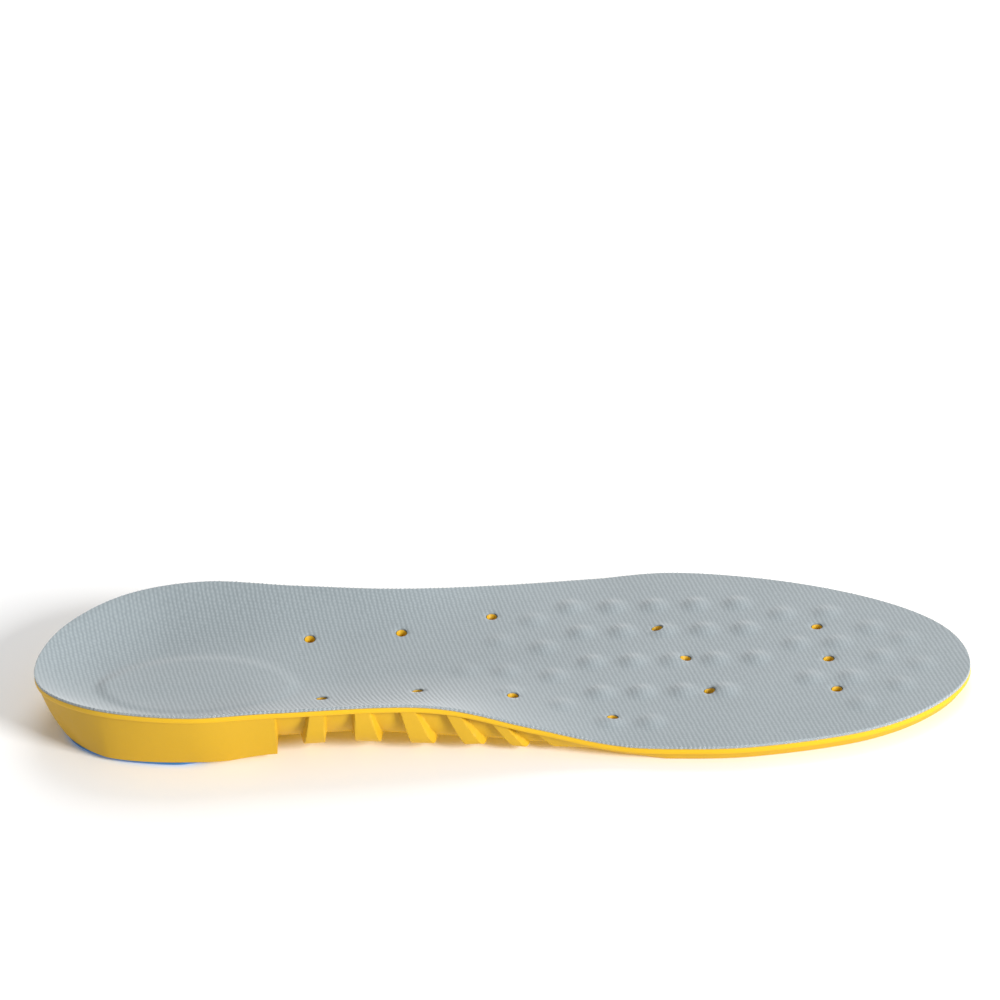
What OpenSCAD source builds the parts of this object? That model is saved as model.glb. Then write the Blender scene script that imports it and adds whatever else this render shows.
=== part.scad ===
/* [Sole] */
// Length from heel to toe before any trimming
insole_l = 270; // [250:1:290]
// Thickness under the ball of the foot, cover included
sole_t = 5.2; // [5:0.1:7]
// Height of the rim round the heel
heel_rim_h = 19.2; // [17:0.2:22]
// How much higher the foot lies at the heel than at the ball
heel_lift = 1.4; // [1:0.1:2.5]

/* [Cover] */
// Thickness of the knit cover
cover_t = 0.9; // [0.6:0.1:1]
// Thickness of the film that bonds the knit to the foam
film_t = 0.2; // [0.15:0.05:0.3]

/* [Foam body] */
// Height of the lip that runs round under the cover
lip_h = 1.6; // [1:0.1:1.8]
// How far the wall is set back under the lip
lip_step = 0.6; // [0.3:0.1:0.9]
// Height of the foam under the heel, where only the pad stands on the floor
heel_clear = 1; // [0.6:0.1:1.4]
// Height of the channels beside the waist panel
channel_z = 2; // [1.6:0.1:2.4]
// Height of the raised panel under the waist
panel_z = 0.5; // [0.2:0.1:1]

/* [Arch pockets] */
// Number of scalloped pockets along the arch
pockets = 6; // [3:1:6]
// Spacing of the pockets along the foot
pocket_pitch = 12.75; // [12:0.25:13.5]
// Width of one pocket at the rim
pocket_w = 8.5; // [7:0.5:10]
// Depth of one pocket
pocket_d = 2.6; // [1:0.2:3]
// How squarely a rib turns under, where 2 is round
rib_power = 3.4; // [2.4:0.2:4]

/* [Gel pads] */
// Thickness of the forefoot pad, domes included
fore_pad_t = 2.4; // [2.2:0.1:2.6]
// Thickness of the heel pad at its rim
heel_pad_t = 3.6; // [3:0.1:3.8]
// Depth of the domed field inside the heel pad's rim
field_d = 1.5; // [1.2:0.1:1.8]
// Diameter of one dome at its foot
dome_d = 7; // [6:0.2:7.6]
// Height of one dome
dome_h = 1.2; // [0.8:0.1:1.2]
// Spacing of the domes along a column
dome_pitch = 7.95; // [7.8:0.05:8.6]
// Thickness of the adhesive behind each pad
glue_t = 0.15; // [0.1:0.05:0.2]
// Gap between a pad and the edge of its recess
pad_gap = 0.4; // [0.3:0.1:0.6]

/* [Vents and marks] */
// Diameter of the vent holes
vent_d = 3; // [2:0.1:3.6]
// Distance between one trim line and the next, along the foot
trim_step = 8.5; // [7:0.5:9]
// Width of a trim line
trim_w = 0.8; // [0.6:0.1:1.2]
// Depth of the trim lines and marks
mark_depth = 0.4; // [0.2:0.1:0.6]

/* [Hidden] */
k = insole_l / 270; // plan scale: every plan point below is for a 270 mm insole
FAR = 60; // reach of a cutting solid past the part
EPS = 0.01;

// The edge, walked from the back of the heel along the outer side to the toe
// and back along the arch. Each row is one point of the rim: x, y, then
// its rise (0 at the ball of the foot, 1 at the top of the heel rim), the
// power of the cup curve there, and how far in the wall's foot lies.
EDGE = [
    [-135, -10, 0.75, 3.0, 6.5], [-128, 7, 0.88, 3.0, 7.0],
    [-111.5, 20.5, 1, 3.0, 9.0], [-89, 27.5, 0.97, 3.0, 10.5],
    [-63, 29, 0.75, 3.0, 11.5], [-33, 31, 0.52, 3.0, 11.0],
    [-3.5, 38.5, 0.21, 3.0, 9.5], [29, 46, 0, 3.0, 5.0],
    [53.5, 48, 0, 3.0, 1.8], [86.5, 40.5, 0, 3.0, 1.8],
    [114.5, 27, 0, 3.0, 1.8], [131, 10.5, 0, 3.0, 1.8],
    [135, -10, 0, 3.0, 1.8], [125, -27.5, 0, 3.0, 1.8],
    [104, -41, 0, 3.0, 1.8], [72, -48, 0, 3.0, 1.8],
    [46.5, -48, 0, 2.5, 1.8], [30, -46, 0.05, 2.0, 5.0],
    [8, -43.5, 0.38, 1.6, 13], [-21, -42.5, 0.87, 1.6, 17.5],
    [-63, -45.5, 0.97, 2.2, 19], [-89, -47.5, 0.99, 3.0, 3.8],
    [-114, -42.5, 1, 3.0, 2.8], [-131, -28, 0.86, 3.0, 5.0]
];
STEP_ROW = 20; // the heel block ends at this row, with a sharp step
BLOCK_INSET = 3.6; // wall inset of the heel block at that step
EDGE_STEPS = 4;
TOP_RINGS = [0.12, 0.3, 0.5, 0.68, 0.84, 0.94, 1];
WALL_RINGS = [0, 0.15, 0.5, 0.75, 1];
CHANNEL_RINGS = [4.5, 6.5]; // the channel floor and the panel's edge, in from the wall's foot
CHANNEL_TOE = [16, 34]; // toe end of the channel on the outer and on the arch side
CHANNEL_HEEL = [-64, -90]; // where it starts on the outer side, and its long ramp on the arch side
CHANNEL_FULL = [-62, -64]; // where each is at its full height
CHANNEL_RUNOUT = 12;
SPINE_END = 100; // the rings close on a spine that ends this far from the middle
SPINE_Y = -5;
SEAT_RAMP = [-75, -45]; // the seat falls from the heel to the waist between these
HEEL_RAMP = [-72, -63.5]; // the underside comes down from the heel to the waist panel
PANEL_RAMP = [14, 40]; // the waist panel runs out to the floor
PANEL_CUT = -0.3; // the front is made this far below the floor and cut off flat
RIB_RAMP = [-45, 5]; // the ribs turn under more and more squarely between these
RIB_GAIN = 3;
FULL_BULGE = 16; // an inset this wide gives a wall with a full round

// Plan outlines, walked the same way round
FORE_PAD = [
    [45, 34.5], [33, 34.5], [21, 32], [14.5, 25], [19, 15.5], [28.5, 1],
    [34.5, -12.5], [38, -26.5], [46.5, -36], [59, -37], [69.5, -30],
    [74.5, -17], [73, -1], [67.5, 14.5], [58.5, 27.5]
];
HEEL_PAD = [
    [-86.5, 17], [-99, 14.5], [-112, 9.5], [-121.5, 2], [-126.5, -8.5],
    [-126.5, -20.5], [-121.5, -31.5], [-111.5, -38.5], [-98, -42],
    [-85.5, -42.5], [-82.5, -39], [-79.5, -31.5], [-77.5, -26],
    [-81, -21], [-84.5, -15], [-83, -10.5], [-78.5, -5], [-76, 1.5],
    [-77.5, 8], [-81, 13]
];
HEEL_FIELD = [
    [-60, 11], [-83, 11], [-95, 7.5], [-112, -0.5], [-120.5, -10],
    [-121, -20.5], [-115.5, -30.5], [-101, -36.5], [-84, -37.5],
    [-60, -37.5]
];
VENTS = [
    [92, 15], [94.5, -3], [96, -19.5], [45, 15.5], [53, -1], [59.5, -19],
    [-4, 24], [-30.5, 15.5], [-57.5, 12.5], [31.5, -32.5], [3, -22],
    [-24.5, -19], [-52, -22]
];
FIRST_POCKET = -61.5; // heel side of the first pocket, at the rim
SLANT_FIRST = 0; // how far its inner end lies ahead of its outer end
SLANT_MORE = 2.2; // how much more each next pocket slants
SLANT_MOST = 7.4;
MARK_AT = [18, -12]; // middle of the round mark on the waist panel
MARK_D = 13;
MARK_LINE = 0.8; // width of its ring

function mix(a, b, t) = a + (b - a) * t;
function ease(a, b, x) =
    let (t = min(1, max(0, (x - a) / (b - a)))) t * t * (3 - 2 * t);
function spline(a, b, c, d, t) =
    0.5 * (2 * b + (c - a) * t + (2 * a - 5 * b + 4 * c - d) * t * t
    + (3 * b - a - 3 * c + d) * t * t * t);
function at(p, i) = p[(i + len(p)) % len(p)];
function on_loop(p, i, t) = spline(at(p, i - 1), at(p, i), at(p, i + 1), at(p, i + 2), t);
function loop(p, n) = [for (i = [0:len(p) - 1]) for (s = [0:n - 1]) on_loop(p, i, s / n)];
function on_line(p, i, t) =
    spline(p[max(0, i - 1)], p[i], p[i + 1], p[min(len(p) - 1, i + 2)], t);
function line(p, n) = concat(
    [for (i = [0:len(p) - 2]) for (s = [0:n - 1]) on_line(p, i, s / n)],
    [p[len(p) - 1]]);
function scaled(p) = [for (q = p) [q.x * k, q.y * k]];
function turned_in(v) = let (u = v / norm(v)) [-u.y, u.x];
// Moves every point of a plan outline out by d
function grown(p, d) = [for (i = [0:len(p) - 1]) p[i] - d * turned_in(at(p, i - 1) - at(p, i + 1))];

// One sample of the edge: rim x, rim y, rise, power, inset, inward x, inward y
function edge_at(i, t) =
    let (
        e = on_loop(EDGE, i, t),
        ahead = on_loop(EDGE, i, t + 0.02),
        behind = on_loop(EDGE, i, t - 0.02),
        n = turned_in([behind.x - ahead.x, behind.y - ahead.y]),
        from = i == STEP_ROW && t > 0 ? BLOCK_INSET : EDGE[i][4],
        inset = mix(from, at(EDGE, i + 1)[4], t)
    )
    [e[0] * k, e[1] * k, max(0, e[2]), e[3], inset, n.x, n.y];
STEP_T = 0.015; // the heel block's step is made between two samples this close
function times(i) =
    i == STEP_ROW ? [0, STEP_T, 0.25, 0.5, 0.75]
    : i == 23 - STEP_ROW ? [0, 0.25, 0.5, 0.75, 1 - STEP_T]
    : [for (s = [0:EDGE_STEPS - 1]) s / EDGE_STEPS];
RIM = [for (i = [0:len(EDGE) - 1]) for (t = times(i)) edge_at(i, t)];
COUNT = len(RIM);

function rim_z(e) = sole_t + (heel_rim_h - sole_t) * e[2];
function ramp(ends, x) = ease(ends[0] * k, ends[1] * k, x);
function seat_z(x) = sole_t + heel_lift * (1 - ramp(SEAT_RAMP, x));
function spine(e) = [max(-SPINE_END * k, min(SPINE_END * k, e[0])), SPINE_Y * k];
// Height of the foam's underside
function under_z(x) =
    x > 0 ? mix(panel_z, PANEL_CUT, ramp(PANEL_RAMP, x))
    : mix(heel_clear, panel_z, ramp(HEEL_RAMP, x));
// How much of a channel there is at one place on the edge, from 0 to 1
function channel_here(e) =
    let (side = e[1] > SPINE_Y * k ? 0 : 1, toe = CHANNEL_TOE[side])
    ramp([CHANNEL_HEEL[side], CHANNEL_FULL[side]], e[0])
    * (1 - ramp([toe - CHANNEL_RUNOUT, toe], e[0]));
// The power of the curve by which the wall turns under
function wall_power(e) =
    e[1] > SPINE_Y * k || e[0] < -64 * k || (e[0] < -62 * k && e[4] < 5) ? 2
    : mix(rib_power, rib_power * RIB_GAIN, ramp(RIB_RAMP, e[0]));
function inward(e, d) = [e[0] + e[5] * d, e[1] + e[6] * d];
// A point of the top surface, sunk by drop
function top_point(e, t, drop) =
    let (s = spine(e), p = mix(s, [e[0], e[1]], t), seat = seat_z(s.x))
    [p.x, p.y, mix(seat, rim_z(e), pow(t, e[3])) - drop];
// A point of the side wall, from 0 under the lip to 1 at its foot
function wall_point(e, v) =
    let (
        z0 = rim_z(e) - cover_t - film_t - lip_h,
        z1 = max(under_z(e[0]), channel_z * channel_here(e)),
        bulge = min(1, e[4] / FULL_BULGE),
        power = 2 / wall_power(e),
        d = mix(v, 1 - pow(cos(90 * v), power), bulge),
        h = mix(v, pow(sin(90 * v), power), bulge),
        p = inward(e, mix(lip_step, e[4], d))
    )
    [p.x, p.y, mix(z0, z1, h)];
// A point of the underside, from 0 on the channel's floor to 1 on the panel
function bottom_point(e, t) =
    let (p = inward(e, e[4] + mix(CHANNEL_RINGS[0], CHANNEL_RINGS[1], t)))
    [p.x, p.y, mix(max(under_z(e[0]), channel_z * channel_here(e)), under_z(e[0]), t)];
function middle_point(e) = let (p = top_point(e, TOP_RINGS[0], 0)) [p.x, p.y, under_z(p.x)];

// Joins rings of equal length into a closed skin. The rings run from the
// middle of the top out over the edge to the middle of the underside.
module skin(rings) {
    points = [for (r = rings) for (p = r) p];
    last = len(rings) - 1;
    sides = [
        for (r = [0:last - 1]) for (i = [0:COUNT - 1])
            let (a = r * COUNT + i, b = r * COUNT + (i + 1) % COUNT)
            each [[a, b + COUNT, b], [a, a + COUNT, b + COUNT]]
    ];
    half = COUNT / 2;
    caps = [
        for (i = [0:half - 1])
            let (a = i, b = i + 1, c = (COUNT - i) % COUNT, d = COUNT - i - 1)
            each cap_faces(a, b, c, d, half, last * COUNT)
    ];
    polyhedron(points, concat(sides, caps), convexity = 6);
}
// Two triangles between the two sides of the middle, on the top and underneath
function cap_faces(a, b, c, d, half, base) = concat(
    a == c ? [] : [[a, b, c], [base + a, base + c, base + b]],
    b == d ? [] : [[b, d, c], [base + b, base + c, base + d]]);

module vents(reach = FAR) {
    for (v = VENTS)
        translate([v.x * k, v.y * k, -reach / 2])
            cylinder(h = reach, d = vent_d, $fn = 32);
}

// A layer of the footbed, from drop below the foot's surface down by t
module footbed_layer(drop, t) {
    skin(concat(
        [for (r = TOP_RINGS) [for (e = RIM) top_point(e, r, drop)]],
        [for (n = [len(TOP_RINGS) - 1:-1:0]) [for (e = RIM) top_point(e, TOP_RINGS[n], drop + t)]]
    ));
}

module foam_blank() {
    drop = cover_t + film_t;
    skin(concat(
        [for (r = TOP_RINGS) [for (e = RIM) top_point(e, r, drop)]],
        [[for (e = RIM) top_point(e, 1, drop + lip_h)]],
        [for (v = WALL_RINGS) [for (e = RIM) wall_point(e, v)]],
        [for (t = [0, 1]) [for (e = RIM) bottom_point(e, t)]],
        [[for (e = RIM) middle_point(e)]]
    ));
}

// The arch wall by its place along the foot, for the pockets
ARCH_ENDS = [-63.5, 40];
ARCH = [for (e = RIM) if (e[1] < 0 && e[0] < ARCH_ENDS[1] * k && e[0] > ARCH_ENDS[0] * k) e];
function column(c) = [for (n = [len(ARCH) - 1:-1:0]) [ARCH[n][0], ARCH[n][c]]];
COLUMNS = [for (c = [0:6]) column(c)];
function arch_at(x, v) =
    wall_point([for (c = [0:6]) c == 0 ? x : lookup(x, COLUMNS[c])], v);
// A round bar from a to b
module bar(a, b, r) {
    d = b - a;
    translate(a) rotate([0, acos(d.z / norm(d)), atan2(d.y, d.x)]) cylinder(h = norm(d), r = r, $fn = 32);
}
POCKET_RUN = [0, 0.4, 0.84]; // places down the wall that a pocket passes
POCKET_SLANT = [0, 0.7, 1]; // how much of its slant it has at each
POCKET_START = 0.6; // how far under the lip it starts
// One scallop, cut by two round bars that follow the wall down and inwards
module arch_pocket(i) {
    middle = FIRST_POCKET + i * pocket_pitch + pocket_w / 2;
    slant = min(SLANT_MOST, SLANT_FIRST + i * SLANT_MORE);
    r = (pocket_w * pocket_w / 4 + pocket_d * pocket_d) / (2 * pocket_d);
    path = [
        for (n = [0:2])
            arch_at((middle + slant * POCKET_SLANT[n]) * k, POCKET_RUN[n])
            - [0, 0, n == 0 ? POCKET_START : 0]
    ];
    for (n = [0, 1]) {
        out = cross(path[n + 1] - path[n], [1, 0, 0]);
        shift = out / norm(out) * (r - pocket_d);
        bar(path[n] + shift, path[n + 1] + shift, r);
    }
}

module recess(points, height) {
    translate([0, 0, -1])
        linear_extrude(height + 1) polygon(grown(loop(scaled(points), 4), pad_gap));
}

TRIM_SHIFT = 1.1; // sideways move of the outline from one trim line to the next
TRIM_FROM = [74, 88]; // where the lines start on the outer and on the arch side
TRIM_BACK = 4; // how much nearer the heel each next line starts
TRIM_GAP = [-13, 5]; // the gap across the toe that holds the size dots
// The toe outline moved back by n steps, as one groove on each side of the gap
module trim_line(n) {
    moved = [for (e = RIM) [e[0] - n * trim_step * k, e[1] - n * TRIM_SHIFT * k]];
    starts = [for (x = TRIM_FROM) (x - TRIM_BACK * n) * k];
    outer = [for (p = moved) if (p.x > starts[0] && p.y > TRIM_GAP[1] * k) p];
    inner = [for (p = moved) if (p.x > starts[1] && p.y < TRIM_GAP[0] * k) p];
    for (side = [outer, inner])
        groove(side);
}
module groove(path) {
    last = len(path) - 1;
    n = [for (i = [0:last]) turned_in(path[min(last, i + 1)] - path[max(0, i - 1)]) * trim_w / 2];
    shape = concat(
        [for (i = [0:last]) path[i] + n[i]],
        [for (i = [last:-1:0]) path[i] - n[i]]);
    translate([0, 0, -1]) linear_extrude(1 + mark_depth) polygon(shape);
}
DOTS_AT = [130, -4.5]; // middle of a row of dots, before the first trim step
DOT_PITCH = 3.5;
DOT_D = 1.8;
// Sunk dots count the sizes: one by the first trim line, three by the third
module size_dots(n) {
    for (s = [1:n])
        translate([
            (DOTS_AT.x - n * trim_step) * k,
            (DOTS_AT.y + (s - (n + 1) / 2) * DOT_PITCH) * k,
            -1
        ])
            cylinder(h = 1 + mark_depth, d = DOT_D, $fn = 24);
}
// A plain ring with an arrowhead that points to the toe
module round_mark() {
    translate([MARK_AT.x * k, MARK_AT.y * k, panel_z - 1])
        difference() {
            cylinder(h = 1 + mark_depth, d = MARK_D, $fn = 48);
            translate([0, 0, -1]) cylinder(h = 3, d = MARK_D - 2 * MARK_LINE, $fn = 48);
        }
    translate([MARK_AT.x * k, MARK_AT.y * k, panel_z - 1])
        linear_extrude(1 + mark_depth) polygon([[3.5, 0], [-2.5, 3], [-1, 0], [-2.5, -3]]);
}

COLUMN_SHARE = 0.8; // spacing of the columns against the spacing along them
LATTICE_REACH = 7; // columns and rows made on each side of the start point
// Domes on a staggered lattice through a start point, turned a little
module domes(start, turn, floor_z) {
    ball = (dome_d * dome_d / 4 + dome_h * dome_h) / (2 * dome_h);
    column = dome_pitch * COLUMN_SHARE;
    reach = LATTICE_REACH;
    translate([start.x * k, start.y * k, floor_z - dome_h + ball])
        rotate(turn)
            for (i = [-reach:reach]) for (j = [-reach:reach])
                translate([i * column, (j + (i % 2 == 0 ? 0 : 0.5)) * dome_pitch, 0])
                    sphere(r = ball, $fn = 32);
}
module field(points, floor_z) {
    linear_extrude(floor_z + EPS) polygon(points);
}

FORE_FLOOR = 1.4; // height of the forefoot pad's floor between its domes
FORE_TOP = FORE_FLOOR - dome_h + fore_pad_t;
FORE_LATTICE = [39.7, 28]; // a dome's middle, and the turn of its columns
FORE_TURN = 2.5;
HEEL_LATTICE = [-87.5, 4.5];
HEEL_TURN = 4;

module top_cover() {
    color("#a5b2ba")
    difference() {
        footbed_layer(0, cover_t);
        vents();
    }
}

module cover_film() {
    color("#e9e4c8")
    difference() {
        footbed_layer(cover_t, film_t);
        vents();
    }
}

module foam_base() {
    color("#f2c21a")
    difference() {
        foam_blank();
        translate([-insole_l, -FAR * 2, -FAR]) cube([insole_l * 2, FAR * 4, FAR]);
        for (i = [0:pockets - 1])
            arch_pocket(i);
        recess(FORE_PAD, FORE_TOP + glue_t);
        recess(HEEL_PAD, heel_pad_t + glue_t);
        for (n = [1:3]) {
            trim_line(n);
            size_dots(n);
        }
        round_mark();
        vents();
    }
}

module forefoot_pad() {
    color("#1f68a8")
    difference() {
        union() {
            translate([0, 0, FORE_FLOOR])
                linear_extrude(FORE_TOP - FORE_FLOOR) polygon(loop(scaled(FORE_PAD), 4));
            intersection() {
                field(loop(scaled(FORE_PAD), 4), FORE_FLOOR);
                domes(FORE_LATTICE, FORE_TURN, FORE_FLOOR);
            }
        }
        vents();
    }
}

module forefoot_adhesive() {
    color("#d9d2b0")
    difference() {
        translate([0, 0, FORE_TOP]) linear_extrude(glue_t) polygon(loop(scaled(FORE_PAD), 4));
        vents();
    }
}

module heel_pad() {
    color("#1f68a8")
    union() {
        difference() {
            linear_extrude(heel_pad_t) polygon(loop(scaled(HEEL_PAD), 4));
            translate([0, 0, -1]) linear_extrude(1 + field_d) polygon(line(scaled(HEEL_FIELD), 4));
        }
        intersection() {
            field(loop(scaled(HEEL_PAD), 4), field_d);
            field(line(scaled(HEEL_FIELD), 4), field_d);
            domes(HEEL_LATTICE, HEEL_TURN, field_d);
        }
    }
}

module heel_adhesive() {
    color("#d9d2b0")
    translate([0, 0, heel_pad_t]) linear_extrude(glue_t) polygon(loop(scaled(HEEL_PAD), 4));
}

top_cover();
cover_film();
foam_base();
forefoot_pad();
forefoot_adhesive();
heel_pad();
heel_adhesive();
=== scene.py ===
"""The look of a cushioned insole, built round its packed CAD frame.

Plan shapes are in millimetres: X from heel to toe, Y to the outer side, Z up
from the floor. Every mesh is scaled to metres when it is made.
"""

import math

import bmesh
import bpy
import numpy as np
from bpy.props import FloatProperty, IntProperty, PointerProperty
from mathutils import Matrix, Vector
from mathutils.geometry import delaunay_2d_cdt


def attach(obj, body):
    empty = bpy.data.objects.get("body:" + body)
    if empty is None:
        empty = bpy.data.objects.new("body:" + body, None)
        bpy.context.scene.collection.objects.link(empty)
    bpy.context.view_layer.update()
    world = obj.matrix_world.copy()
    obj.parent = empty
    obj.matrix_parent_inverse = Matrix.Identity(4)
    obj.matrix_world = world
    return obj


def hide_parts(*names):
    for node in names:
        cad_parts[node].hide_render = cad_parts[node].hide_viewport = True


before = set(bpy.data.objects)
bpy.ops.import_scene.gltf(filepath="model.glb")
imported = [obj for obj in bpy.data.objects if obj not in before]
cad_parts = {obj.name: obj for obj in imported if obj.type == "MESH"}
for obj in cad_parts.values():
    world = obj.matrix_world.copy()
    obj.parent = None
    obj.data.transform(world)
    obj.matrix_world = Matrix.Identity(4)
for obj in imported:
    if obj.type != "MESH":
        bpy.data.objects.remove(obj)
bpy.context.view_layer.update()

bl_info = {
    "name": "Cushioned insole",
    "version": (1, 0, 0),
    "blender": (4, 5, 0),
    "location": "View3D > Sidebar > Insole",
    "description": "Builds a ribbed-knit insole with gel pads round its CAD frame",
    "category": "Object",
}

MM = 0.001

# The rim from the back of the heel along the outer side to the toe and back
# along the arch: x, y, rise, power of the cup curve, inset of the wall's foot
EDGE = [
    (-135, -10, 0.75, 3.0, 6.5), (-128, 7, 0.88, 3.0, 7.0),
    (-111.5, 20.5, 1, 3.0, 9.0), (-89, 27.5, 0.97, 3.0, 10.5),
    (-63, 29, 0.75, 3.0, 11.5), (-33, 31, 0.52, 3.0, 11.0),
    (-3.5, 38.5, 0.21, 3.0, 9.5), (29, 46, 0, 3.0, 5.0),
    (53.5, 48, 0, 3.0, 1.8), (86.5, 40.5, 0, 3.0, 1.8),
    (114.5, 27, 0, 3.0, 1.8), (131, 10.5, 0, 3.0, 1.8),
    (135, -10, 0, 3.0, 1.8), (125, -27.5, 0, 3.0, 1.8),
    (104, -41, 0, 3.0, 1.8), (72, -48, 0, 3.0, 1.8),
    (46.5, -48, 0, 2.5, 1.8), (30, -46, 0.05, 2.0, 5.0),
    (8, -43.5, 0.38, 1.6, 13), (-21, -42.5, 0.87, 1.6, 17.5),
    (-63, -45.5, 0.97, 2.2, 19), (-89, -47.5, 0.99, 3.0, 3.8),
    (-114, -42.5, 1, 3.0, 2.8), (-131, -28, 0.86, 3.0, 5.0),
]
ARCH_ROWS = (17, 18, 19)
STEP_ROW = 20  # the heel block ends here, with a sharp step
STEP_T = 0.015
BLOCK_INSET = 3.6
FULL_BULGE = 16  # an inset this wide gives a wall with a full round
SPINE_Y = -5
SPINE_END = 100

# Places along the foot where one height runs over into another
SEAT_RAMP = (-75, -45)  # the seat falls from the heel to the waist
HEEL_RAMP = (-72, -63.5)  # the lower face comes down from the heel to the panel
PANEL_RAMP = (14, 40)  # the waist panel runs out to the floor
PANEL_CUT = -0.3  # where the panel's slope ends, just below the floor
CHANNEL_HEEL = ((-72, -60), (-90, -64))  # outer channel, arch channel
CHANNEL_TOE = (16, 34)
CHANNEL_RUNOUT = 12
ARCH_START = -63.5
ARCH_END = 60
BLOCK_END = -62
RIB_RAMP = (-45, 5)  # the ribs turn under more and more squarely
RIB_GAIN = 3
ROUND = 2.0  # the power of a plain round
BACK_POWER = 4.5  # how squarely the back of the last pocket turns under
FRONT_RAMP = (-8, 12)  # the wall ahead of the pockets comes down to the floor
FRONT_LOW = 0.3

FORE_PAD = [
    (45, 34.5), (33, 34.5), (21, 32), (14.5, 25), (19, 15.5), (28.5, 1),
    (34.5, -12.5), (38, -26.5), (46.5, -36), (59, -37), (69.5, -30),
    (74.5, -17), (73, -1), (67.5, 14.5), (58.5, 27.5),
]
HEEL_PAD = [
    (-86.5, 17), (-99, 14.5), (-112, 9.5), (-121.5, 2), (-126.5, -8.5),
    (-126.5, -20.5), (-121.5, -31.5), (-111.5, -38.5), (-98, -42),
    (-85.5, -42.5), (-82.5, -39), (-79.5, -31.5), (-77.5, -26),
    (-81, -21), (-84.5, -15), (-83, -10.5), (-78.5, -5), (-76, 1.5),
    (-77.5, 8), (-81, 13),
]
HEEL_FIELD = [
    (-60, 11), (-83, 11), (-95, 7.5), (-112, -0.5), (-120.5, -10),
    (-121, -20.5), (-115.5, -30.5), (-101, -36.5), (-84, -37.5),
    (-60, -37.5),
]
VENTS = [
    (92, 15), (94.5, -3), (96, -19.5), (45, 15.5), (53, -1), (59.5, -19),
    (-4, 24), (-30.5, 15.5), (-57.5, 12.5), (31.5, -32.5), (3, -22),
    (-24.5, -19), (-52, -22),
]
VENT_SIDES = 28

# Soft bumps pressed up through the cover: y of a row, x of its first bump,
# how many, their spacing, and their height against a full one
BUMP_ROWS = [
    (29, 19.4, 5, 12.4, 1), (14.7, 22.5, 5, 12.1, 1), (-2, 25.5, 5, 12.0, 1),
    (-19, 28, 4, 11.9, 1), (-35, 30.8, 2, 11.5, 0.8), (21.9, 8.3, 1, 0, 0.7),
    (6.8, 11.5, 1, 0, 0.8), (-9.2, 14.6, 1, 0, 0.8), (-26.4, 17.2, 1, 0, 0.6),
    (10.8, -1.5, 1, 0, 0.5), (-5.9, 0.8, 1, 0, 0.6), (-19.3, 2, 1, 0, 0.5),
    (-5, -11, 1, 0, 0.4), (22.5, 82, 2, 13.2, 0.8), (5.5, 85.4, 2, 12.2, 0.8),
    (-13.5, 88.6, 2, 12, 0.8), (-27.7, 102.6, 1, 0, 0.6), (13.5, 107.5, 1, 0, 0.7),
    (-2.6, 109.5, 1, 0, 0.7), (-18.2, 114.4, 1, 0, 0.6), (6.9, 117, 1, 0, 0.5),
    (-7.4, 121, 1, 0, 0.5),
]

POCKET_FIRST = -62.3
POCKET_PITCH = 12.75
POCKET_WIDTH = 8.6
POCKET_LEAN = (-2.7, -0.5, 3.3, 6.0, 7.4, 7.0)  # how far each leans to the toe
POCKET_SIDE = 0.17  # share of the half width that a pocket's side slopes over
POCKET_BACK = 0.7  # share of a pocket's depth that shapes its back
LEAN_SHARE = 0.75

SEAT_AT = (-88.5, -12.5)  # middle and half axes of the raised heel seat
SEAT_AXES = (30.5, 19.0)

TRIM_SHIFT = 1.1  # sideways move from one trim line to the next
TRIM_FROM = ((76, 4), (92, 3.6))  # outer and arch side: start, and how much each goes back
TRIM_GAP = (4.5, -13.5)
DOTS_AT = (130, -4.5)
DOT_PITCH = 3.5

MARK_AT = (18, -12)
MARK_R = 6.5


# ---- plan shapes and heights ----

def mix(a, b, t):
    return a + (b - a) * t


def ease(a, b, x):
    t = np.clip((x - a) / (b - a), 0, 1)
    return t * t * (3 - 2 * t)


def spline(a, b, c, d, t):
    return 0.5 * (2 * b + (c - a) * t + (2 * a - 5 * b + 4 * c - d) * t ** 2
                  + (3 * b - a - 3 * c + d) * t ** 3)


def quarter(t, power):
    """In and down along a quarter of a superellipse, evenly spread for any power."""
    side = 2 * 0.5 ** (1 / power) * min(t, 1 - t)
    other = (1 - side ** power) ** (1 / power)
    return (1 - other, side) if t < 0.5 else (1 - side, other)


def corners(rows, i):
    """The four neighbouring rows that shape the curve from row i on."""
    n = len(rows)
    return [np.array(rows[(i + k) % n], float) for k in (-1, 0, 1, 2)]


def smooth_loop(rows, spacing):
    """A closed smooth curve through plan points."""
    parts = []
    for i in range(len(rows)):
        a, b, c, d = corners(rows, i)
        n = max(2, round(float(np.linalg.norm(c - b)) / spacing))
        t = np.arange(n)[:, None] / n
        parts.append(spline(a, b, c, d, t))
    return np.concatenate(parts)


def rim_samples(spacing, arch_spacing):
    """Columns x, y, rise, power, inset, inward x, inward y round the rim."""
    parts = []
    for i in range(len(EDGE)):
        a, b, c, d = corners(EDGE, i)
        step = arch_spacing if i in ARCH_ROWS else spacing
        n = round(float(np.linalg.norm((c - b)[:2])) / step)
        t = np.arange(n) / n
        if i == STEP_ROW:
            t = np.insert(t, 1, STEP_T)
        t = t[:, None]
        p = spline(a, b, c, d, t)
        along = (spline(a, b, c, d, t + 0.02) - spline(a, b, c, d, t - 0.02))[:, :2]
        along /= np.linalg.norm(along, axis=1)[:, None]
        start = np.full(len(t), b[4])
        if i == STEP_ROW:
            start[1:] = BLOCK_INSET
        inset = mix(start, c[4], t[:, 0])
        rise = np.maximum(0, p[:, 2])
        parts.append(np.column_stack([p[:, :2], rise, p[:, 3], inset, along[:, 1], -along[:, 0]]))
    return np.concatenate(parts)


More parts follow.
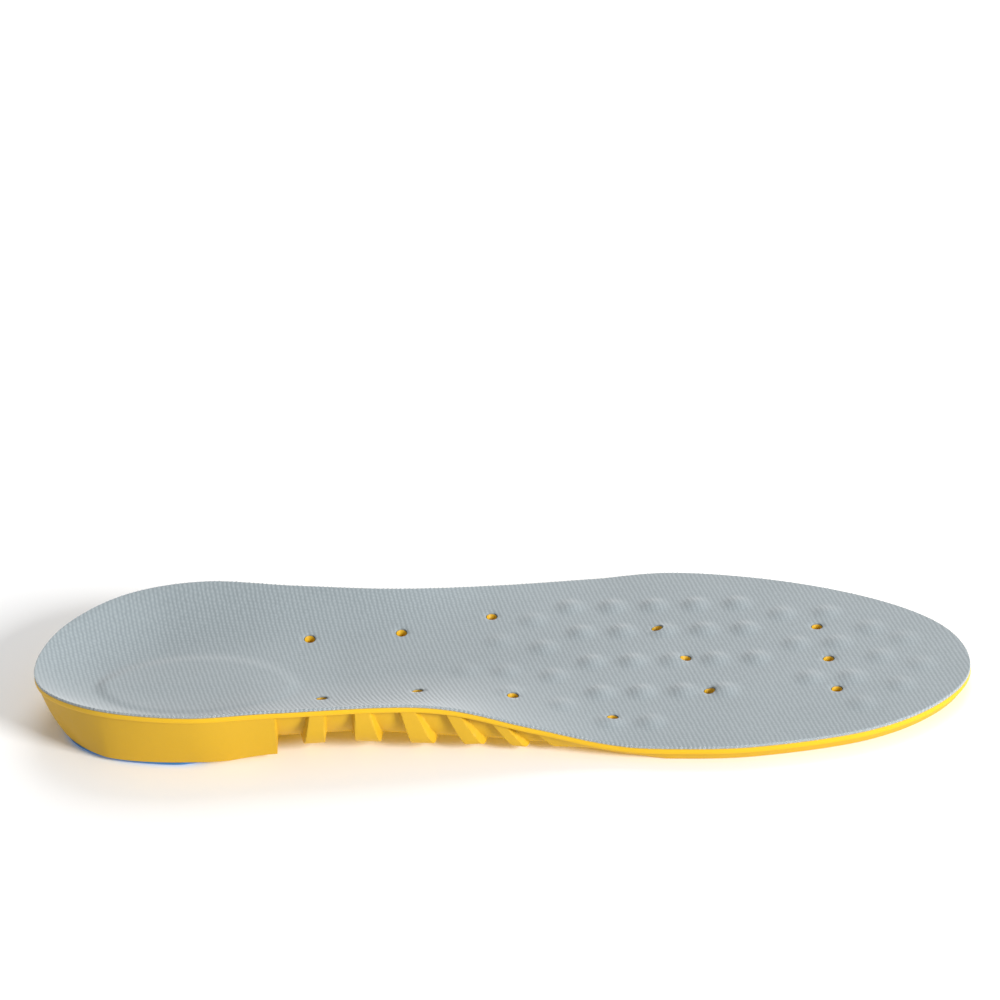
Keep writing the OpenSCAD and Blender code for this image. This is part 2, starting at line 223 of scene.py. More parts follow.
class Footbed:
    """The heights of the insole, from its settings."""

    def __init__(self, s, spacing=1.2, arch_spacing=1.2):
        self.s = s
        self.rim = rim_samples(spacing, arch_spacing)
        x, y = self.rim[:, 0], self.rim[:, 1]
        z, power = self.rim_z(), self.rim[:, 3]
        self.sides = []
        for pick in (y > SPINE_Y, y <= SPINE_Y):
            order = np.flatnonzero(pick & (np.abs(x) < SPINE_END + 8))
            order = order[np.argsort(x[order])]
            self.sides.append((x[order], np.abs(y[order] - SPINE_Y), z[order], power[order]))
        self.ends = []
        for sign in (-1, 1):
            pick = np.flatnonzero(sign * x > SPINE_END - 8)
            dx, dy = sign * x[pick] - SPINE_END, y[pick] - SPINE_Y
            angle = np.arctan2(dy, dx)
            order = np.argsort(angle)
            pick = pick[order]
            self.ends.append((angle[order], np.hypot(dx, dy)[order], z[pick], power[pick]))

    def rim_z(self):
        s = self.s
        return s.sole_t + (s.heel_rim_h - s.sole_t) * self.rim[:, 2]

    def top(self, p):
        """Height of the foot's surface at plan points."""
        x, y = p[:, 0], p[:, 1] - SPINE_Y
        reach, rim, power = (np.empty(len(p)) for _ in range(3))
        dist = np.abs(y)
        for k, (at, far, z, pw) in enumerate(self.sides):
            pick = (y > 0) == (k == 0)
            for out, column in ((reach, far), (rim, z), (power, pw)):
                out[pick] = np.interp(x[pick], at, column)
        for sign, (at, far, z, pw) in zip((-1, 1), self.ends):
            pick = sign * x > SPINE_END
            dx = sign * x[pick] - SPINE_END
            angle = np.arctan2(y[pick], dx)
            dist[pick] = np.hypot(dx, y[pick])
            for out, column in ((reach, far), (rim, z), (power, pw)):
                out[pick] = np.interp(angle, at, column)
        s = self.s
        seat = s.sole_t + s.heel_lift * (1 - ease(*SEAT_RAMP, np.clip(x, -SPINE_END, SPINE_END)))
        t = np.clip(dist / reach, 0, 1.02)
        return mix(seat, rim, t ** power) + self.relief(p)

    def relief(self, p):
        """What shows through the cover: the bumps and the raised seat of the heel."""
        out = np.zeros(len(p))
        for y, x, count, pitch, tall in BUMP_ROWS:
            for n in range(count):
                r = np.hypot(p[:, 0] - x - n * pitch, p[:, 1] - y) / self.s.bump_r
                out += tall * self.s.bump_h * np.clip(1 - r * r, 0, 1) ** 2
        u, v = ((p[:, k] - SEAT_AT[k]) / SEAT_AXES[k] for k in (0, 1))
        edge = 1 - ease(0.86 - 0.3 * np.clip(v, 0, 1), 1.0, np.hypot(u, v))
        out += self.s.seat_h * edge * (0.72 - 0.28 * u) * (0.85 + 0.6 * np.minimum(v, 0))
        return out

    def under(self, x):
        """Height of the waist panel and of the foam under the heel."""
        front = mix(self.s.panel_z, PANEL_CUT, ease(*PANEL_RAMP, x))
        back = mix(self.s.heel_clear, self.s.panel_z, ease(*HEEL_RAMP, x))
        return np.maximum(0, np.where(x > 0, front, back))

    def channel(self):
        """How much of a channel runs along each sample of the rim, 0 to 1."""
        x, y = self.rim[:, 0], self.rim[:, 1]
        outer = y > SPINE_Y
        start = np.where(outer, *(ease(*ends, x) for ends in CHANNEL_HEEL))
        end = np.where(outer, *CHANNEL_TOE)
        return start * (1 - ease(end - CHANNEL_RUNOUT, end, x))

    def foot_z(self):
        return np.maximum(self.under(self.rim[:, 0]), self.s.channel_z * self.channel())

    def inward(self, d):
        return self.rim[:, :2] + self.rim[:, 5:7] * np.asarray(d)[..., None]

    def ring(self, d, z):
        """The rim moved in by d, at height z."""
        xy = self.inward(np.broadcast_to(d, len(self.rim)))
        return np.column_stack([xy, np.broadcast_to(z, len(self.rim))])

    def wall(self, count):
        """Rings of the side wall from under the lip to its foot, pockets included."""
        s = self.s
        x, y, inset = self.rim[:, 0], self.rim[:, 1], self.rim[:, 4]
        z0 = self.rim_z() - s.cover_t - s.film_t - s.lip_h
        z1 = self.foot_z()
        bulge = np.minimum(1, inset / FULL_BULGE)
        block = (x < BLOCK_END) & (inset < 5)
        arch = (y < SPINE_Y) & (x > ARCH_START) & ~block & (x < ARCH_END)
        ahead = ease(*RIB_RAMP, x) * arch
        rib_power = np.where(arch, mix(s.rib_power, RIB_GAIN * s.rib_power, ahead), ROUND)
        back_power = mix(ROUND, BACK_POWER, ahead)
        low = mix(z1, FRONT_LOW, ease(*FRONT_RAMP, x) * arch * (z1 > FRONT_LOW))
        rings = []
        for t in np.linspace(0, 1, count):

            def profile(power, deeper):
                turn_in, fall = quarter(t, power)
                d = mix(t, turn_in, bulge)
                h = mix(t, fall, bulge)
                z = mix(z0, low, h) + (z1 - low) * ease(0.05, 0.6, d)
                return self.ring(mix(s.lip_step + deeper, inset, d), z), h

            rib, h = profile(rib_power, 0.0)
            back, _ = profile(back_power, s.pocket_d * POCKET_BACK)
            cut = self.pockets(LEAN_SHARE * h + (1 - LEAN_SHARE) * t) * arch
            rings.append(mix(rib, back, cut[:, None]))
        return rings

    def pockets(self, lean):
        """How much of a pocket lies at each sample of the rim, 0 to 1. The first
        one runs into the heel block's step."""
        x = self.rim[:, 0]
        cut = np.zeros(len(x))
        for i in range(self.s.pockets):
            a = (x - POCKET_FIRST - i * POCKET_PITCH - lean * POCKET_LEAN[i]) / POCKET_WIDTH
            near = np.clip(1 - np.abs(2 * a - 1), 0, 1)
            if i == 0:
                near = np.where(a < 0.5, 1, near)
            cut = np.maximum(cut, ease(0.0, POCKET_SIDE, near))
        return cut


# ---- meshes ----

def inside(points, loop):
    """Which plan points lie inside a closed loop."""
    odd = np.zeros(len(points), bool)
    x, y = points[:, 0], points[:, 1]
    for (x0, y0), (x1, y1) in zip(loop[:, :2], np.roll(loop[:, :2], -1, 0)):
        if y0 != y1:
            crosses = (y0 > y) != (y1 > y)
            odd ^= crosses & (x < (x1 - x0) * (y - y0) / (y1 - y0) + x0)
    return odd


def holds(loop, point):
    return inside(np.array([point], float), loop)[0]


def nearest(points, loop, closed=True):
    """Distance from plan points to a line, and the place on it as an index."""
    a = loop[:, :2] if closed else loop[:-1, :2]
    b = np.roll(loop[:, :2], -1, 0) if closed else loop[1:, :2]
    best = np.full(len(points), 1e9)
    place = np.zeros(len(points), int)
    for i, (p, q) in enumerate(zip(a, b)):
        d = q - p
        t = np.clip(((points - p) @ d) / max(1e-12, d @ d), 0, 1)
        r = np.hypot(*(points - p - t[:, None] * d).T)
        closer = r < best
        best[closer] = r[closer]
        place[closer] = i
    return best, place


def offset(loop, d):
    """A clockwise or anticlockwise plan loop grown by d."""
    along = np.roll(loop, -1, 0) - np.roll(loop, 1, 0)
    along /= np.linalg.norm(along, axis=1)[:, None]
    turn = np.sign(np.sum(loop[:, 0] * np.roll(loop[:, 1], -1) - loop[:, 1] * np.roll(loop[:, 0], -1)))
    out = turn * np.column_stack([along[:, 1], -along[:, 0]])
    return loop + np.reshape(d, (-1, 1)) * out


def circle(centre, r, sides=VENT_SIDES):
    a = np.arange(sides) * 2 * math.pi / sides
    return np.column_stack([centre[0] + r * np.cos(a), centre[1] + r * np.sin(a)])


def at_height(loop, z):
    return np.column_stack([loop[:, :2], np.broadcast_to(z, len(loop))])


def between(points, outer, holes):
    """Which plan points lie inside a loop and outside its holes."""
    keep = inside(points, outer)
    for hole in holes:
        keep &= ~inside(points, hole)
    return keep


def level(z):
    """A height function with one height everywhere."""
    return lambda p: np.full(len(p), z)


EDGE_GAP = 0.25  # extra lines keep this far from the outline
HOLE_GAP = 0.15


def fill(outer, holes, height, lines=(), spacing=2.2):
    """Triangles inside a loop and round its holes. Loops keep their own
    heights; the grid points and the extra lines take theirs from height."""
    loops = [outer, *holes]
    fixed = np.concatenate(loops)
    edges, start = [], 0
    for loop in loops:
        n = len(loop)
        edges += [(start + i, start + (i + 1) % n) for i in range(n)]
        start += n
    extra = []
    for line, closed in lines:
        keep = between(line, outer, holes) & (nearest(line, outer)[0] > EDGE_GAP)
        for hole in holes:
            keep &= nearest(line, hole)[0] > HOLE_GAP
        n = len(line)
        number = np.cumsum(keep) - 1 + start
        for i in range(n if closed else n - 1):
            j = (i + 1) % n
            if keep[i] and keep[j]:
                edges.append((int(number[i]), int(number[j])))
        extra.append(line[keep])
        start += int(keep.sum())
    plan = np.concatenate([fixed[:, :2], *extra])
    grid = hex_grid(outer, spacing)
    grid = grid[between(grid, outer, holes)]
    grid = grid[clear_of(grid, plan, spacing * 0.62)]
    plan = np.concatenate([plan, grid])
    out, _, faces, source, _, _ = delaunay_2d_cdt(
        [Vector(p) for p in plan.tolist()], edges, [], 0, 1e-4, True)
    points = np.array([tuple(p) for p in out])
    faces = np.array(faces)
    keep = between(points[faces].mean(1), outer, holes)
    points = np.column_stack([points, height(points)])
    for i, origin in enumerate(source):
        own = [k for k in origin if k < len(fixed)]
        if own:
            points[i] = fixed[own[0]]
    return points, faces[keep]


def hex_grid(outer, spacing):
    lo, hi = outer[:, :2].min(0), outer[:, :2].max(0)
    rows = np.arange(lo[1], hi[1], spacing * 0.866)
    xs = np.arange(lo[0], hi[0], spacing)
    shift = (np.arange(len(rows)) % 2) * spacing / 2
    return np.column_stack([(xs[None] + shift[:, None]).ravel(), np.repeat(rows, len(xs))])


def clear_of(points, taken, gap):
    """Which points have none of the taken ones within the gap."""
    cell = {}
    for p in taken:
        cell.setdefault((int(p[0] // gap), int(p[1] // gap)), []).append(p)
    keep = np.ones(len(points), bool)
    for n, p in enumerate(points):
        i, j = int(p[0] // gap), int(p[1] // gap)
        for a in (i - 1, i, i + 1):
            for b in (j - 1, j, j + 1):
                for q in cell.get((a, b), ()):
                    if (q[0] - p[0]) ** 2 + (q[1] - p[1]) ** 2 < gap * gap:
                        keep[n] = False
    return keep


class Shell:
    """Collects loops and patches in millimetres and makes one closed mesh."""

    def __init__(self):
        self.points = []
        self.faces = []
        self.count = 0

    def patch(self, points, faces, drop=0.0):
        points = points - (0, 0, drop)
        self.points.append(points)
        self.faces += (np.asarray(faces) + self.count).tolist()
        self.count += len(points)

    def strip(self, *loops):
        """Joins closed loops of one length, each to the next."""
        n = len(loops[0])
        i = np.arange(n)
        j = (i + 1) % n
        for a, b in zip(loops, loops[1:]):
            self.patch(np.concatenate([a, b]), np.column_stack([i, j, j + n, i + n]))

    def build(self, name, sharp=40.0):
        points = np.round(np.concatenate(self.points), 4)
        points, place = np.unique(points, axis=0, return_inverse=True)
        place = place.ravel()
        faces = []
        for face in self.faces:
            face = list(dict.fromkeys(int(place[v]) for v in face))
            if len(face) > 2:
                faces.append(face)
        mesh = bpy.data.meshes.new(name)
        mesh.from_pydata((points * MM).tolist(), [], faces)
        work = bmesh.new()
        work.from_mesh(mesh)
        bmesh.ops.recalc_face_normals(work, faces=work.faces)
        work.to_mesh(mesh)
        work.free()
        mesh.polygons.foreach_set("use_smooth", [True] * len(mesh.polygons))
        mesh.set_sharp_from_angle(angle=math.radians(sharp))
        return mesh


def place(name, mesh, material):
    """A new object at the origin, in the scene."""
    obj = bpy.data.objects.new(name, mesh)
    bpy.context.scene.collection.objects.link(obj)
    mesh.materials.clear()
    mesh.materials.append(material)
    return obj


def plain(obj):
    """Turns what an object's modifiers make into its own mesh."""
    evaluated = obj.evaluated_get(bpy.context.evaluated_depsgraph_get())
    mesh = bpy.data.meshes.new_from_object(evaluated)
    mesh.name = obj.name
    obj.modifiers.clear()
    obj.data = mesh
    return obj


# ---- node trees ----

class Tree:
    """Short ways to add nodes and link them."""

    def __init__(self, tree):
        self.tree = tree

    def add(self, kind, inputs=None, **settings):
        node = self.tree.nodes.new(kind)
        for key, value in settings.items():
            setattr(node, key, value)
        return self.feed(node, inputs or {})

    def feed(self, node, inputs):
        """Links sockets to a node's inputs, and sets the other inputs to plain values."""
        for key, value in inputs.items():
            socket = node.inputs[key]
            if isinstance(value, bpy.types.NodeSocket):
                self.tree.links.new(value, socket)
            else:
                socket.default_value = value
        return node

    def math(self, operation, *values):
        return self.add("ShaderNodeMath", dict(enumerate(values)), operation=operation).outputs[0]

    def ramp(self, value, low, high):
        node = self.add("ShaderNodeMapRange", {0: value, 1: low, 2: high}, interpolation_type="SMOOTHSTEP")
        return node.outputs[0]

    def noise(self, scale, detail, vector):
        inputs = {"Scale": scale, "Detail": detail, "Vector": vector}
        return self.add("ShaderNodeTexNoise", inputs).outputs["Fac"]

    def wave(self, value):
        """A smooth wave from 0 to 1, once for each whole step of the value."""
        cosine = self.math("COSINE", self.math("MULTIPLY", value, math.tau))
        return self.math("MULTIPLY_ADD", cosine, -0.5, 0.5)

    def relief(self, height, strength, distance):
        """A normal bumped by a height, with the distance in millimetres."""
        inputs = {"Height": height, "Strength": strength, "Distance": distance * MM}
        return self.add("ShaderNodeBump", inputs).outputs[0]

    def blend(self, factor, a, b):
        node = self.add("ShaderNodeMix", {0: factor, 6: a, 7: b}, data_type="RGBA")
        return node.outputs[2]


def group(name, kind, sockets):
    """A new node group, with the given inputs and outputs."""
    tree = bpy.data.node_groups.new(name, kind)
    for label, direction, socket_type, default in sockets:
        item = tree.interface.new_socket(label, in_out=direction, socket_type=socket_type)
        if default is not None:
            item.default_value = default
    t = Tree(tree)
    return t, t.add("NodeGroupInput"), t.add("NodeGroupOutput")


def knit_group():
    """Ribbed knit: ribs across the foot, with short stitches along each."""
    number = "NodeSocketFloat"
    t, source, sink = group("Ribbed knit", "ShaderNodeTree", [
        ("Rib spacing", "INPUT", number, 1.29 * MM),
        ("Stitch spacing", "INPUT", number, 1.0 * MM),
        ("Turn", "INPUT", number, math.radians(15)),
        ("Colour", "OUTPUT", "NodeSocketColor", None),
        ("Height", "OUTPUT", number, None),
    ])
    coords = t.add("ShaderNodeTexCoord").outputs["Object"]
    wobble = t.noise(420.0, 2.0, coords)
    turned = t.add("ShaderNodeVectorRotate", {"Vector": coords, "Angle": source.outputs["Turn"]},
                   rotation_type="Z_AXIS", invert=True)
    axes = t.add("ShaderNodeSeparateXYZ", {0: turned.outputs[0]})
    rib = t.math("DIVIDE", axes.outputs[0], source.outputs["Rib spacing"])
    rib = t.math("ADD", rib, t.math("MULTIPLY", wobble, 0.55))
    along = t.math("DIVIDE", axes.outputs[1], source.outputs["Stitch spacing"])
    column = t.math("FLOOR", rib)
    jump = t.math("FRACT", t.math("MULTIPLY", column, 0.377))  # sets each rib's stitches off from the last
    wave = t.wave(rib)
    dash = t.wave(t.math("ADD", along, jump))
    fuzz = t.noise(1500.0, 3.0, coords)
    patches = t.noise(35.0, 2.0, coords)
    height = t.math("MULTIPLY_ADD", t.math("MULTIPLY", wave, dash), 0.45, t.math("MULTIPLY", wave, 0.55))
    height = t.math("ADD", height, t.math("MULTIPLY", fuzz, 0.3))
    specks = t.math("MULTIPLY_ADD", t.noise(900.0, 2.0, coords), 0.7, -0.35)
    # The colour follows the knit's height: painted shade darkens the low valleys between ribs and stitches,
    # and a painted highlight lightens the high ridges. Random specks and patches of tone are mixed in.
    tone = t.math("ADD", t.math("ADD", height, specks), t.math("MULTIPLY_ADD", patches, 0.5, -0.25))
    low = t.ramp(tone, 0.0, 0.55)
    shaded_valley = (0.213, 0.246, 0.26, 1)
    base = (0.247, 0.284, 0.302, 1)
    ridge = (0.288, 0.327, 0.343, 1)
    colour = t.blend(low, shaded_valley, base)
    colour = t.blend(t.ramp(tone, 0.45, 1.15), colour, ridge)
    t.feed(sink, {"Colour": colour, "Height": height})
    return t.tree


def grain_group():
    """Fine moulded grain with slow changes of tone, shared by foam and gel."""
    number = "NodeSocketFloat"
    t, source, sink = group("Moulded grain", "ShaderNodeTree", [
        ("Colour", "INPUT", "NodeSocketColor", (0.8, 0.8, 0.8, 1)),
        ("Shade", "INPUT", number, 0.12),
        ("Grain scale", "INPUT", number, 900.0),
        ("Roughness", "INPUT", number, 0.5),
        ("Colour", "OUTPUT", "NodeSocketColor", None),
        ("Roughness", "OUTPUT", number, None),
        ("Height", "OUTPUT", number, None),
    ])
    coords = t.add("ShaderNodeTexCoord").outputs["Object"]
    slow = t.noise(28.0, 3.0, coords)
    fine = t.noise(source.outputs["Grain scale"], 4.0, coords)
    pores = t.add("ShaderNodeTexVoronoi", {"Vector": coords, "Scale": 700.0}).outputs["Distance"]
    shade = t.math("MULTIPLY", t.math("SUBTRACT", slow, 0.5), source.outputs["Shade"])
    shade = t.math("ADD", shade, t.math("MULTIPLY", t.math("SUBTRACT", fine, 0.5), 0.06))
    factor = t.math("ADD", 1.0, shade)
    colour = t.add("ShaderNodeVectorMath", {0: source.outputs["Colour"], "Scale": factor},
                   operation="SCALE").outputs[0]
    swing = t.math("MULTIPLY", t.math("SUBTRACT", fine, 0.5), 0.2)
    rough = t.math("ADD", source.outputs["Roughness"], swing)
    height = t.math("ADD", fine, t.math("MULTIPLY", t.ramp(pores, 0.0, 0.25), 0.4))
    t.feed(sink, {"Colour": colour, "Roughness": rough, "Height": height})
    return t.tree


def shared(name, make):
    return bpy.data.node_groups.get(name) or make()


def new_material(name, settings):
    """A material with one Principled shader, and its tree ready for links."""
    material = bpy.data.materials.new(name)
    material.use_nodes = True
    t = Tree(material.node_tree)
    shader = material.node_tree.nodes["Principled BSDF"]
    for key, value in settings.items():
        shader.inputs[key].default_value = value
    return material, t, shader


def knit_material(rib, stitch, turn):
    material, t, shader = new_material("Ribbed knit", {
        "Roughness": 0.9, "Specular IOR Level": 0.25, "Sheen Weight": 0.35, "Sheen Roughness": 0.5})
    knit = t.add("ShaderNodeGroup", {"Rib spacing": rib, "Stitch spacing": stitch, "Turn": turn},
                 node_tree=shared("Ribbed knit", knit_group))
    t.feed(shader, {"Base Color": knit.outputs["Colour"],
                    "Normal": t.relief(knit.outputs["Height"], 0.32, 0.2)})
    return material


def moulded_material(name, colour, rough, shade, relief, lip=None, **settings):
    """Foam, gel or film. A lip colour, if given, is used where the mesh marks its lip."""
    material, t, shader = new_material(name, settings)
    if lip:
        marked = t.add("ShaderNodeAttribute", attribute_name="lip")
        colour = t.blend(marked.outputs["Fac"], colour, lip)
    grain = t.add("ShaderNodeGroup", {"Colour": colour, "Roughness": rough, "Shade": shade},
                  node_tree=shared("Moulded grain", grain_group))
    t.feed(shader, {"Base Color": grain.outputs["Colour"], "Roughness": grain.outputs["Roughness"],
                    "Normal": t.relief(grain.outputs["Height"], 0.4, relief)})
    return material


def dome_tree(material):
    """Pushes a staggered field of round domes out of a pad's lower face."""
    number = "NodeSocketFloat"
    names = ["Pitch", "Diameter", "Height", "Turn", "Start X", "Start Y"]
    t, source, sink = group("Dome field", "GeometryNodeTree", [
        ("Geometry", "INPUT", "NodeSocketGeometry", None),
        *[(name, "INPUT", number, 0.0) for name in names],
        ("Geometry", "OUTPUT", "NodeSocketGeometry", None),
    ])
    pitch, wide, tall, turn, x, y = (source.outputs[n] for n in names)
    position = t.add("GeometryNodeInputPosition").outputs[0]
    start = t.add("ShaderNodeCombineXYZ", {0: x, 1: y}).outputs[0]
    local = t.add("ShaderNodeVectorMath", {0: position, 1: start}, operation="SUBTRACT").outputs[0]
    local = t.add("ShaderNodeVectorRotate", {"Vector": local, "Angle": turn},
                  rotation_type="Z_AXIS", invert=True).outputs[0]
    axes = t.add("ShaderNodeSeparateXYZ", {0: local})
    column = t.math("MULTIPLY", pitch, 0.8)
    half = t.math("MULTIPLY", pitch, 0.5)

    def reach(across, along):
        """Squared distance to the nearest dome of every second column."""
        p = t.math("WRAP", t.math("SUBTRACT", axes.outputs[0], across), column,
                   t.math("MULTIPLY", column, -1.0))
        q = t.math("WRAP", t.math("SUBTRACT", axes.outputs[1], along), half,
                   t.math("MULTIPLY", half, -1.0))
        return t.math("ADD", t.math("MULTIPLY", p, p), t.math("MULTIPLY", q, q))

    near = t.math("MINIMUM", reach(0.0, 0.0), reach(column, half))
    quarter = t.math("MULTIPLY", t.math("MULTIPLY", wide, wide), 0.25)
    ball = t.math("DIVIDE", t.math("MULTIPLY_ADD", tall, tall, quarter), t.math("MULTIPLY", tall, 2.0))
    rise = t.math("SQRT", t.math("MAXIMUM", t.math("SUBTRACT", t.math("MULTIPLY", ball, ball), near), 0.0))
    rise = t.math("MAXIMUM", t.math("SUBTRACT", rise, t.math("SUBTRACT", ball, tall)), 0.0)
    mask = t.add("GeometryNodeInputNamedAttribute", {"Name": "dome_mask"}, data_type="FLOAT")
    drop = t.math("MULTIPLY", t.math("MULTIPLY", rise, mask.outputs[0]), -1.0)
    shift = t.add("ShaderNodeCombineXYZ", {2: drop}).outputs[0]
    moved = t.add("GeometryNodeSetPosition", {"Geometry": source.outputs["Geometry"], "Offset": shift})
    real = t.add("GeometryNodeRealizeInstances", {0: moved.outputs[0]})
    done = t.add("GeometryNodeSetMaterial", {"Geometry": real.outputs[0], "Material": material})
    t.feed(sink, {"Geometry": done.outputs[0]})
    return t.tree


def loop_tree(material):
    """Sets small thread loops along a line, one for each rib of the knit."""
    number = "NodeSocketFloat"
    t, source, sink = group("Edge loops", "GeometryNodeTree", [
        ("Geometry", "INPUT", "NodeSocketGeometry", None),
        ("Spacing", "INPUT", number, 1.25 * MM),
        ("Loop radius", "INPUT", number, 0.36 * MM),
        ("Thread radius", "INPUT", number, 0.1 * MM),
        ("Seed", "INPUT", "NodeSocketInt", 4),
        ("Geometry", "OUTPUT", "NodeSocketGeometry", None),
    ])
    curve = t.add("GeometryNodeMeshToCurve", {"Mesh": source.outputs["Geometry"]})
    even = t.add("GeometryNodeResampleCurve", {"Curve": curve.outputs[0],
                                               "Length": source.outputs["Spacing"]}, mode="LENGTH")
    path, thread = (
        t.add("GeometryNodeCurvePrimitiveCircle", {"Resolution": sides, "Radius": source.outputs[radius]})
        for sides, radius in ((7, "Loop radius"), (4, "Thread radius")))
    tube = t.add("GeometryNodeCurveToMesh", {"Curve": path.outputs[0], "Profile Curve": thread.outputs[0]})
    stood = t.add("GeometryNodeTransform", {"Geometry": tube.outputs[0],
                                            "Rotation": (math.radians(90), 0, 0), "Scale": (0.8, 1, 1)})
    tangent = t.add("GeometryNodeInputTangent")
    turn = t.add("FunctionNodeAlignRotationToVector", {"Vector": tangent.outputs[0]},
                 axis="X", pivot_axis="Z")
    size = t.add("FunctionNodeRandomValue", {2: 0.8, 3: 1.15, "Seed": source.outputs["Seed"]},
                 data_type="FLOAT")
    copies = t.add("GeometryNodeInstanceOnPoints", {
        "Points": even.outputs[0], "Instance": stood.outputs[0],
        "Rotation": turn.outputs[0], "Scale": size.outputs[1]})
    real = t.add("GeometryNodeRealizeInstances", {0: copies.outputs[0]})
    done = t.add("GeometryNodeSetMaterial", {"Geometry": real.outputs[0], "Material": material})
    t.feed(sink, {"Geometry": done.outputs[0]})
    return t.tree


def run_tree(obj, tree, values):
    """Runs a geometry tree on an object with the given inputs, and keeps the result."""
    modifier = obj.modifiers.new(tree.name, "NODES")
    modifier.node_group = tree
    for item in tree.interface.items_tree:
        if item.in_out == "INPUT" and item.name in values:
            modifier[item.identifier] = values[item.name]
    return plain(obj)


# ---- the pieces ----

VENT_SLACK = 0.25  # the holes in the cover and the film are this much larger in radius
VENT_EDGE = 0.45
THROAT = 0.62  # a vent narrows to this share of its radius
THROAT_DEPTH = 1.2


def vent_rings(footbed, r, drop):
    """One loop round each vent, on the foot's surface or sunk below it."""
    rings = []
    for vent in VENTS:
        ring = circle(vent, r)
        rings.append(at_height(ring, footbed.top(ring) - drop))
    return rings


def layer(name, footbed, drop, thick, spacing, edge):
    """A sheet of the footbed with rounded edges, as one closed mesh."""
    r = footbed.s.vent_d / 2 + VENT_SLACK
    rim = footbed.rim_z()
    inner = footbed.inward(np.full(len(rim), edge))
    top = at_height(inner, footbed.top(inner) - drop)
    shell = Shell()
    holes = vent_rings(footbed, r + edge, drop)
    points, faces = fill(top, holes, lambda p: footbed.top(p) - drop, spacing=spacing)
    shell.patch(points, faces)
    shell.patch(points, faces, thick)
    side = footbed.ring(0.0, rim - drop)
    shell.strip(top, side - (0, 0, edge), side - (0, 0, thick - edge * 0.4), top - (0, 0, thick))
    for hole, wall in zip(holes, vent_rings(footbed, r, drop)):
        shell.strip(hole, wall - (0, 0, edge * 0.8), wall - (0, 0, thick - edge * 0.3), hole - (0, 0, thick))
    return shell.build(name)


def build_cover(s):
    footbed = Footbed(s)
    knit = knit_material(s.rib_spacing, s.stitch_spacing, s.rib_turn)
    cover = place("knit_cover", layer("knit_cover", footbed, 0.0, s.cover_t, 1.25, 0.22), knit)
    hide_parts("top_cover")
    thread, t, shader = new_material("Edge thread", {"Roughness": 0.85, "Sheen Weight": 0.3})
    tone = t.noise(400.0, 2.0, t.add("ShaderNodeTexCoord").outputs["Object"])
    t.feed(shader, {"Base Color": t.blend(tone, (0.36, 0.4, 0.42, 1), (0.52, 0.55, 0.56, 1))})
    line = footbed.ring(0.02, footbed.rim_z() - s.cover_t * 0.52)
    mesh = bpy.data.meshes.new("edge_loops")
    n = len(line)
    mesh.from_pydata((line * MM).tolist(), [(i, (i + 1) % n) for i in range(n)], [])
    loops = place("edge_loops", mesh, thread)
    run_tree(loops, loop_tree(thread), {"Spacing": s.rib_spacing, "Seed": s.seed})
    film_mesh = layer("bond_film", footbed, s.cover_t, s.film_t, 2.5, 0.06)
    film_look = moulded_material("Bond film", (0.5, 0.33, 0.06, 1), 0.4, 0.05, 0.02)
    film = place("bond_film", film_mesh, film_look)
    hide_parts("cover_film")
    for obj, name in ((cover, "knit_cover"), (loops, "knit_cover"), (film, "bond_film")):
        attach(obj, "root")
    area = plan_area(footbed.rim[:, :2]) * MM * MM


def plan_area(loop):
    x, y = loop[:, 0], loop[:, 1]
    return abs(float(np.sum(x * np.roll(y, -1) - y * np.roll(x, -1)))) / 2


def trim_lines(footbed, s):
    """The toe outline moved back in steps, as open plan lines on either side of the gap."""
    lines = []
    for n in (1, 2, 3):
        moved = footbed.rim[:, :2] - (n * s.trim_step, n * TRIM_SHIFT)
        sides = (moved[:, 1] > TRIM_GAP[0], moved[:, 1] < TRIM_GAP[1])
        for side, (start, back) in zip(sides, TRIM_FROM):
            lines.append(moved[side & (moved[:, 0] > start - back * n)])
    return lines


def beside(line, d):
    """An open plan line moved sideways by d."""
    along = np.gradient(line, axis=0)
    along /= np.linalg.norm(along, axis=1)[:, None]
    return line + d * np.column_stack([along[:, 1], -along[:, 0]])


def arrow(centre, grow):
    """An arrowhead to the toe, in plan, grown a little."""
    shape = np.array([(3.6, 0), (-2.6, 3.1), (-1.2, 0), (-2.6, -3.1)], float)
    return shape * (1 + grow / 2.4) + centre


def ridge(d, at, width):
    """A narrow rise from 0 to 1, at one distance from a line."""
    return np.exp(-((d - at) / width) ** 2)


HEEL_SHOULDER = (-90, -84)  # the heel recess has a soft edge only ahead of these


